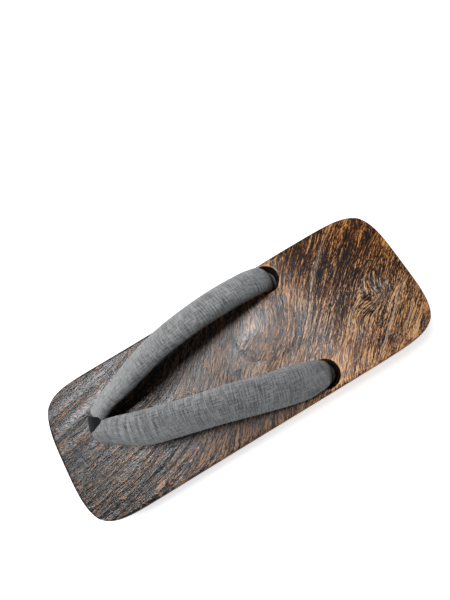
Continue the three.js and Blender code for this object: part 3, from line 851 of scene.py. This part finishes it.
# Columns of an arm: x, y, lift of its centre over the top, width, thickness, roll in degrees.
outerArm = [
    (96.2, -6.2, 12.0, 12.8, 8.0, 44), (88.5, -3.4, 15.0, 17.6, 9.4, 43), (78.5, 0.9, 18.8, 22.0, 10.4, 41),
    (65, 6.8, 24.0, 24.2, 11.0, 38), (47, 12.0, 28.4, 23.2, 11.4, 35), (28, 17.0, 30.0, 22.8, 11.8, 32),
    (8, 22.0, 28.4, 22.6, 12.0, 28), (-14, 28.0, 21.8, 22.4, 12.0, 22), (-31, 31.8, 13.8, 22.4, 12.0, 16),
    (-42.6, 33.4, 8.2, 18.4, 10.8, 3), (-46.3, 34.7, -1.5, 15.2, 10.4, 1),
    (-46.6, 35.0, -13.5, 14.8, 10.4, 0),
]
innerArm = [
    (90.3, -14.9, 13.2, 17.0, 8.8, 50), (84.5, -17.2, 15.8, 19.6, 9.6, 52), (76, -20.0, 19.4, 21.0, 10.4, 55),
    (64, -22.4, 24.4, 22.0, 11.0, 52), (47, -26.6, 28.4, 21.6, 11.4, 45), (28, -30.5, 30.0, 20.8, 11.8, 39),
    (8, -33.4, 28.4, 20.0, 12.0, 33), (-14, -35.4, 21.8, 19.6, 12.0, 26), (-31, -36.4, 13.8, 19.2, 12.0, 19),
    (-42.6, -36.4, 8.0, 17.6, 11.0, 6), (-46.4, -36.3, -1.5, 15.8, 10.6, 2),
    (-46.8, -36.2, -13.5, 15.2, 10.6, 0),
]
armSizes = dict(
    squareness=2.35,           # exponent of the arm's section, 2 for an ellipse
    endRounding=3.0,           # length over which each end closes
    outerLean=1.5,             # how far an end is cut obliquely at the loop, and over which length
    innerLean=4.5,
    leanReach=15.0,
    rings=420,
    endRings=20,
    section=120,
    sharpAbove=50,             # degrees
)
fold = dict(lift=14.2, ahead=1.1, halfLong=3.3, halfHigh=3.1, toInner=6.7, toOuter=7.8, skew=0.3)
loop = dict(thick=2.8, gap=0.35, openFrom=-4.2, reachUp=17.0)
# Sides of the wedge that the loop fills: places ahead of the fold's middle and towards the outer arm.
wedgeInner = [(-9, 0.2), (-5, 0.2), (6, -6.4), (9, -6.4)]
wedgeOuter = [(-9, 2.2), (-5.2, 2.2), (1.5, 4.2), (9, 4.2)]
wedgeGap = 0.42
stem = dict(halfLong=4.3, halfWide=4.5, intoRing=1.2, startBack=0.2, middleBack=0.6)
smallGap = 0.35
slackGap = 0.1
foldCentre = np.array([frontHole["x"] + fold["ahead"], frontHole["y"],
                       float(topHeight(np.array(frontHole["x"]))) + fold["lift"]])
loopInside = fold["halfLong"] + loop["gap"]
loopOutside = loopInside + loop["thick"]


# A power that keeps the sign, for superellipses.
def signedPower(value, power):
    return np.sign(value) * np.abs(value) ** power


# An arm: superellipse sections, each turned by its roll, carried along the line of the table's centres.
# The ends close as a quarter round. wrinkle(along, turn) is how far the cloth stands out or in.
def armSurface(table, outward, lean, wrinkle):
    rows = readTable(table, np.linspace(0, len(table) - 1, 900))
    centres = np.column_stack([rows[:, 0], rows[:, 1], topHeight(rows[:, 0]) + rows[:, 2]])
    lengths = lengthAlong(centres)
    total, ending, endRings = lengths[-1], armSizes["endRounding"], armSizes["endRings"]
    quarter = 1 - np.cos(np.linspace(0.03, 1, endRings) * math.pi / 2)
    middle = np.linspace(ending, total - ending, armSizes["rings"] - 2 * endRings + 2)[1:-1]
    along = np.concatenate([ending * quarter, middle, total - ending * quarter[::-1]])
    centre = columnsAt(along, lengths, centres)
    wide, thick, roll = columnsAt(along, lengths, rows[:, 3:]).T
    tangent = unit(columnsAt(along, lengths, np.gradient(centres, lengths, axis=0)))
    side = unit(np.cross(tangent, (0, 0, 1)))
    side *= (np.sign(side[:, 1]) * outward)[:, None]
    face = np.cross(side, tangent)
    face *= np.sign(face[:, 2])[:, None]
    roll = np.radians(roll)[:, None]
    wideAxis = side * np.cos(roll) - face * np.sin(roll)
    thickAxis = side * np.sin(roll) + face * np.cos(roll)
    fromEnd = np.clip(np.minimum(along, total - along) / ending, 0, 1)
    closing = np.sqrt(1 - (1 - fromEnd) ** 2)
    turn = np.linspace(0, 2 * math.pi, armSizes["section"], endpoint=False)
    power = 2 / armSizes["squareness"]
    rings = ringsAround(centre, wideAxis, signedPower(np.cos(turn), power) * (wide * closing / 2)[:, None],
                        thickAxis, signedPower(np.sin(turn), power) * (thick * closing / 2)[:, None])
    leaning = lean * np.clip(1 - along / armSizes["leanReach"], 0, 1) ** 2
    rings = rings - tangent[:, None] * (leaning[:, None] * np.cos(turn))[..., None]
    normal = np.cross(np.gradient(rings, axis=0), np.roll(rings, -1, 1) - np.roll(rings, 1, 1))
    normal /= np.linalg.norm(normal, axis=2)[..., None] + 1e-9
    normal *= np.sign(np.sum(normal * (rings - centre[:, None])))
    rings = rings + normal * (wrinkle(along[:, None], turn[None]) * closing[:, None])[..., None]
    girth = np.linalg.norm(np.roll(rings, -1, 1) - rings, axis=2)
    around = np.concatenate([np.zeros((len(rings), 1)), np.cumsum(girth, axis=1)], axis=1)
    uvs = np.dstack(np.broadcast_arrays(along[:, None], around))
    return rings, rings[0].mean(0), centre[-1], uvs


# Creases across the outer arm near the fold: narrow troughs between soft swellings.
# Columns: place along the arm (mm), turn round it (degrees) where it is deepest, reach round, depth, width.
outerCreases = [
    (16.0, 120, 40, 0.35, 1.6), (24.5, 105, 34, 0.30, 1.1), (31.0, 122, 34, 0.55, 0.8),
    (34.2, 70, 26, 0.25, 1.0), (39.0, 118, 36, 0.45, 0.8), (44.5, 88, 28, 0.22, 1.1),
    (50.5, 124, 32, 0.50, 0.7), (63.0, 130, 24, 0.2, 1.0), (148.0, 80, 60, 0.45, 2.0),
]
innerCreases = [
    (14.0, 60, 40, 0.30, 1.2), (22.0, 80, 36, 0.25, 1.2), (140.0, 90, 60, 0.45, 2.0),
    (147.0, 70, 50, 0.35, 2.0),
]


creaseShape = dict(
    slant=0.035,               # mm along the arm for each degree round it
    swelling=0.45,             # height of the soft swellings as a share of the depth
    swellingAway=2.4,          # their place and width, in crease widths
    swellingWidth=1.2,
    # slow waves over both sides of the arm: longest, shortest, count, stretch
    wavesAcross=(40, 12, 10, 1.0),
    wavesThrough=(30, 9, 10, 1.0),
    waveGirth=9,
    waveHeight=0.12,
)


# How far the cloth stands out: slow waves, less a bell for each crease, plus a swelling on its two sides.
def creaseWith(creases, seed):
    def wrinkle(along, turn):
        push = np.zeros(np.broadcast_shapes(along.shape, turn.shape))
        for place, middle, reach, depth, width in creases:
            away = (np.degrees(turn) - middle + 180) % 360 - 180
            off = (along - place - creaseShape["slant"] * away) / width
            swelling = (np.abs(off) - creaseShape["swellingAway"]) / creaseShape["swellingWidth"]
            bells = creaseShape["swelling"] * np.exp(-0.5 * swelling ** 2) - np.exp(-0.5 * off ** 2)
            push += depth * bells * np.exp(-0.5 * (away / reach) ** 2)
        along, turn = np.broadcast_arrays(along, turn)
        girth = creaseShape["waveGirth"]
        soft = waveField(along, girth * np.sin(turn), *creaseShape["wavesAcross"], seed)
        soft += waveField(along, girth * np.cos(turn), *creaseShape["wavesThrough"], seed + 1)
        return push + creaseShape["waveHeight"] * soft
    return wrinkle


# Sets the fold askew: each point moves ahead by a share of its distance towards the outer arm.
def setAskew(points):
    points = np.array(points, float)
    points[..., 0] += fold["skew"] * (points[..., 1] - foldCentre[1])
    return points


# The room that the toe loop takes: its wedge in plan, grown by the gap, extruded between two heights that
# follow a round below and, where the arms don't close over it, stand open above.
def loopRoom(name):
    radius = loopOutside + loop["gap"]
    ahead = np.unique(np.concatenate([-radius * np.cos(np.linspace(0, math.pi, 60)),
                                      [loop["openFrom"], loop["openFrom"] + loop["reachUp"]]]))
    inner = np.interp(ahead, *np.array(wedgeInner).T) - wedgeGap
    outer = np.interp(ahead, *np.array(wedgeOuter).T) + wedgeGap
    low = -np.sqrt(np.clip(radius ** 2 - ahead ** 2, 0.01, None))
    high = np.where(ahead < loop["openFrom"], -low, loop["reachUp"])
    rings = np.stack([np.column_stack([ahead, outer, low]), np.column_stack([ahead, inner, low]),
                      np.column_stack([ahead, inner, high]), np.column_stack([ahead, outer, high])], 1)
    rings = setAskew(rings + foldCentre)
    return makeTube(name, rings * mm, rings[0].mean(0) * mm, rings[-1].mean(0) * mm)


# A bar along a line: oval sections whose first axis keeps as near to +X as the line allows. swell(share,
# turn) makes it thicker or thinner. Returns its rings and its map: mm along it and round it.
def barAlong(line, halfA, halfB, sectionCount, swell=None):
    tangent = unit(np.gradient(line, axis=0))
    guide = np.array([1.0, 0.0, 0.0])
    side = unit(guide - tangent * (tangent @ guide)[:, None])
    turn = np.linspace(0, 2 * math.pi, sectionCount, endpoint=False)
    size = swell(np.linspace(0, 1, len(line))[:, None], turn) if swell else np.ones((len(line), 1))
    rings = ringsAround(line, side, np.cos(turn) * halfA * size,
                        np.cross(tangent, side), np.sin(turn) * halfB * size)
    around = np.linspace(0, math.pi * (halfA + halfB), sectionCount + 1)
    return rings, np.dstack(np.broadcast_arrays(lengthAlong(line)[:, None], around))


# The stem of the loop, grown by a gap: from inside the loop's lower wall down the front hole.
def makeStem(name, gap):
    bottom = frontHole["recessDepth"] - slackGap
    x, y, z = foldCentre
    route = [(x - stem["startBack"], y, z - loopInside - stem["intoRing"] + gap),
             (x - stem["middleBack"], y, (z + bottom) / 2), (frontHole["x"], y, bottom)]
    line = readTable(route, np.linspace(0, len(route) - 1, 60))
    rings = barAlong(line, stem["halfLong"] + gap, stem["halfWide"] + gap, 48)[0]
    return makeTube(name, rings * mm, line[0] * mm, line[-1] * mm)


# An arm as a tube, cut out for the loop and its stem.
def makeArm(name, table, outward, lean, creases, seed):
    rings, first, last, uvs = armSurface(table, outward, lean, creaseWith(creases, seed))
    arm = makeTube(name, rings * mm, first * mm, last * mm, uvs)
    applyBoolean(arm, [loopRoom("loopRoomCutter"), makeStem("stemRoomCutter", loop["gap"])], "DIFFERENCE")
    arm.data.set_sharp_from_angle(angle=math.radians(armSizes["sharpAbove"]))
    return arm


# The narrow fold between the arms: an oval bar set askew.
def makeFold():
    route = [foldCentre + np.array([0, y, 0]) for y in np.linspace(fold["toOuter"], -fold["toInner"], 5)]
    line = readTable(route, np.linspace(0, len(route) - 1, 24))
    rings, uvs = barAlong(line, fold["halfLong"], fold["halfHigh"], 40)
    return makeTube("strapFold", setAskew(rings) * mm, setAskew(line[0]) * mm, setAskew(line[-1]) * mm, uvs)


strapCloth = dict(
    light=colour(152, 152, 151),
    dark=colour(68, 68, 68),
    threadPitch=0.62,          # mm between threads
    roughness=0.92,
    sheen=0.25,
)
# What both cloths share: noises on the cloth's own map (waves per mm along, round and up, offset, detail)
clothWeave = dict(
    noises=dict(
        slubLong=((0.11, 2.1, 1.0), 5.0, 2.0),
        slubRound=((2.1, 0.13, 1.0), 17.0, 2.0),
        mottle=((0.5, 0.5, 1.0), 29.0, 3.0),
        fine=((1.9, 1.9, 1.0), 41.0, 2.0),
    ),
    weights=dict(slubLong=0.4, slubRound=0.5, mottle=0.13, fine=0.35),
    shade=(0.54, 0.85),        # sums at which the cloth is dark and light
    threadHeight=0.25,
    bump=(0.8, 0.0006),
    sheenRoughness=0.5,
)


# Heathered linen: two sets of threads on the cloth's own map (mm), with slubs along each. The threads are
# the product of a sine along and a sine round.
def clothMaterial(name, sizes):
    material, shader = newMaterial(name)
    c = clothWeave
    place = addNode(material, "UVMap", uv_map="clothMap").outputs[0]
    noises = {key: stretchedNoise(material, place, *row) for key, row in c["noises"].items()}
    mixed = weightedSum(material, noises, c["weights"])
    base = mixColours(material, mapRange(material, mixed, *c["shade"]), sizes["dark"], sizes["light"])
    perMm = 2 * math.pi / sizes["threadPitch"]
    warp, weft = (mathNode(material, "SINE", mathNode(material, "MULTIPLY", direction, perMm))
                  for direction in splitVector(material, place)[:2])
    weave = mathNode(material, "MULTIPLY", warp, weft)
    height = mathNode(material, "MULTIPLY_ADD", weave, c["threadHeight"], mixed)
    links = material.node_tree.links
    links.new(base, shader.inputs["Base Color"])
    links.new(addBump(material, height, *c["bump"]), shader.inputs["Normal"])
    shader.inputs["Roughness"].default_value = sizes["roughness"]
    shader.inputs["Sheen Weight"].default_value = sizes["sheen"]
    shader.inputs["Sheen Roughness"].default_value = c["sheenRoughness"]
    return material


linen = clothMaterial("greyLinen", strapCloth)
strapPieces = [
    makeArm("strapOuter", outerArm, 1, armSizes["outerLean"], outerCreases, 21),
    makeArm("strapInner", innerArm, -1, armSizes["innerLean"], innerCreases, 31),
    makeFold(),
]
for piece in strapPieces:
    finishPiece(piece, "straps", linen)
    litByStrip.objects.link(piece)
print("straps made,", sum(len(piece.data.polygons) for piece in strapPieces), "faces")


# Toe loop, its knot and the heel tie

loopCloth = dict(
    light=colour(18, 27, 33),
    dark=colour(6, 11, 15),
    threadPitch=0.5,
    roughness=0.85,
    sheen=0.04,
)
toeKnot = dict(halfLong=9.4, halfWide=8.6, halfHigh=3.1, cord=1.5)
heelKnot = dict(x=-44.5, halfLong=6.2, halfWide=8.6, halfHigh=4.4, cord=2.0)
loopMap = dict(radius=5, roundDownTo=4)    # mm under the fold's middle, below which the height is used
knotRope = dict(points=260, section=24, strands=3, turns=24, strandDepth=0.06)
heelTie = dict(radius=2.6, points=300, section=24, strands=3, twist=150, strandDepth=0.07)


# Map for a piece without its own, in mm: across the fold, and round it above or by height below.
def boxMap(piece):
    mesh = piece.data
    corners = np.empty(len(mesh.loops), int)
    mesh.loops.foreach_get("vertex_index", corners)
    x, y, z = (pointsOf(piece) / mm).T
    uvMap = mesh.uv_layers.get("clothMap") or mesh.uv_layers.new(name="clothMap")
    around = np.arctan2(z - foldCentre[2], x - foldCentre[0]) * loopMap["radius"]
    flat = np.column_stack([y, np.where(z > foldCentre[2] - loopMap["roundDownTo"], around, z)])
    uvMap.data.foreach_set("uv", flat[corners].astype(np.float32).ravel())


loopRing = dict(
    turns=96,
    section=40,
    flatness=0.7,              # exponents of the section through the ring and across it, 1 for an ellipse
    edgeFlatness=0.5,
    wave=0.06,
    waves=5,
    sharpAbove=45,             # degrees
)


# The loop: a ring round the fold, its two edges on the wedge's sides, joined to the stem.
def makeLoopPiece():
    turns = np.linspace(0, 2 * math.pi, loopRing["turns"], endpoint=False)
    section = np.linspace(0, 2 * math.pi, loopRing["section"], endpoint=False)
    through = signedPower(np.sin(section), loopRing["flatness"]) * loop["thick"] / 2
    wave = loopRing["wave"] * np.sin(turns * loopRing["waves"])
    radius = (loopInside + loopOutside) / 2 + through[None] + wave[:, None]
    ahead = radius * np.cos(turns)[:, None]
    inner = np.interp(ahead, *np.array(wedgeInner).T)
    outer = np.interp(ahead, *np.array(wedgeOuter).T)
    edges = signedPower(np.cos(section), loopRing["edgeFlatness"])
    across = (inner + outer) / 2 + (outer - inner) / 2 * edges
    rings = setAskew(foldCentre + np.dstack([ahead, across, radius * np.sin(turns)[:, None]]))
    piece = makeLoop("toeLoop", rings * mm)
    applyBoolean(piece, [makeStem("toeStem", 0.0)], "UNION")
    piece.data.set_sharp_from_angle(angle=math.radians(loopRing["sharpAbove"]))
    return piece


# A knotted cord: the three-lobed knot curve (sin t + 2 sin 2t, cos t - 2 cos 2t, -sin 3t), scaled to size.
def makeKnot(name, centre, sizes):
    t = np.linspace(0, 2 * math.pi, knotRope["points"], endpoint=False)
    radius = sizes["cord"]
    spread = [(sizes["halfLong"] - radius) / 3, (sizes["halfWide"] - radius) / 3, sizes["halfHigh"] - radius]
    lobes = [np.sin(t) + 2 * np.sin(2 * t), np.cos(t) - 2 * np.cos(2 * t), -np.sin(3 * t)]
    line = np.column_stack(lobes) * spread
    tangent = unit(np.roll(line, -1, 0) - np.roll(line, 1, 0))
    side = unit(np.cross(tangent, (0, 0, 1)))
    turn = np.linspace(0, 2 * math.pi, knotRope["section"], endpoint=False)
    strand = np.cos(knotRope["strands"] * turn + knotRope["turns"] * t[:, None])
    size = radius * (1 - knotRope["strandDepth"] * (1 - strand))
    rings = ringsAround(line, side, np.cos(turn) * size, np.cross(side, tangent), np.sin(turn) * size)
    return makeLoop(name, (rings + np.array(centre)) * mm)


# The toe's knot, close under the top of its recess.
def makeToeKnot():
    height = frontHole["recessDepth"] - smallGap - slackGap - toeKnot["halfHigh"]
    return makeKnot("toeKnot", (frontHole["x"], frontHole["y"], height), toeKnot)


# The cord under the arch: down each back hole and level under the roof.
def makeHeelTie():
    x, shift, reach = backHole["x"], backHole["shift"], backHole["y"]
    roof = float(smoothArch(np.array(x)))
    level = roof - smallGap - heelTie["radius"]
    top = float(topHeight(np.array(x))) + outerArm[-1][2] - smallGap - slackGap
    # steps ahead of the hole's middle line and inwards from the hole, and the height
    steps = [(0.6, 0, top), (0.6, 0, (top + roof) / 2), (0.6, 0.2, roof + 0.6),
             (0.8, 1.4, level + 0.8), (1, 5.4, level), (2, 18, level)]

    def half(side):
        return [(x + ahead, side * (reach - inward) + shift, height) for ahead, inward, height in steps]

    def twist(share, turn):
        strand = np.cos(heelTie["strands"] * turn + heelTie["twist"] * share)
        return 1 - heelTie["strandDepth"] * (1 - strand)

    route = half(1) + half(-1)[::-1]
    line = readTable(route, np.linspace(0, len(route) - 1, 420))
    lengths = lengthAlong(line)
    line = columnsAt(np.linspace(0, lengths[-1], heelTie["points"]), lengths, line)
    rings = barAlong(line, heelTie["radius"], heelTie["radius"], heelTie["section"], twist)[0]
    return makeTube("heelTie", rings * mm, line[0] * mm, line[-1] * mm)


# The tie's knot, close under the roof of the arch.
def makeHeelKnot():
    roof = float(smoothArch(np.array(heelKnot["x"] - heelKnot["halfLong"])))
    return makeKnot("heelKnot", (heelKnot["x"], 0, roof - smallGap - heelKnot["halfHigh"]), heelKnot)


darkCloth = clothMaterial("darkLoopCloth", loopCloth)
for piece, node, slot in (
    (makeLoopPiece(), "toe_loop", "loop_cloth"), (makeToeKnot(), "toe_knot", "loop_cloth"),
    (makeHeelTie(), "heel_tie", "tie_cord"), (makeHeelKnot(), "heel_tie", "tie_cord"),
):
    boxMap(piece)
    finishPiece(piece, node, darkCloth)
print("loop, knots and tie made")
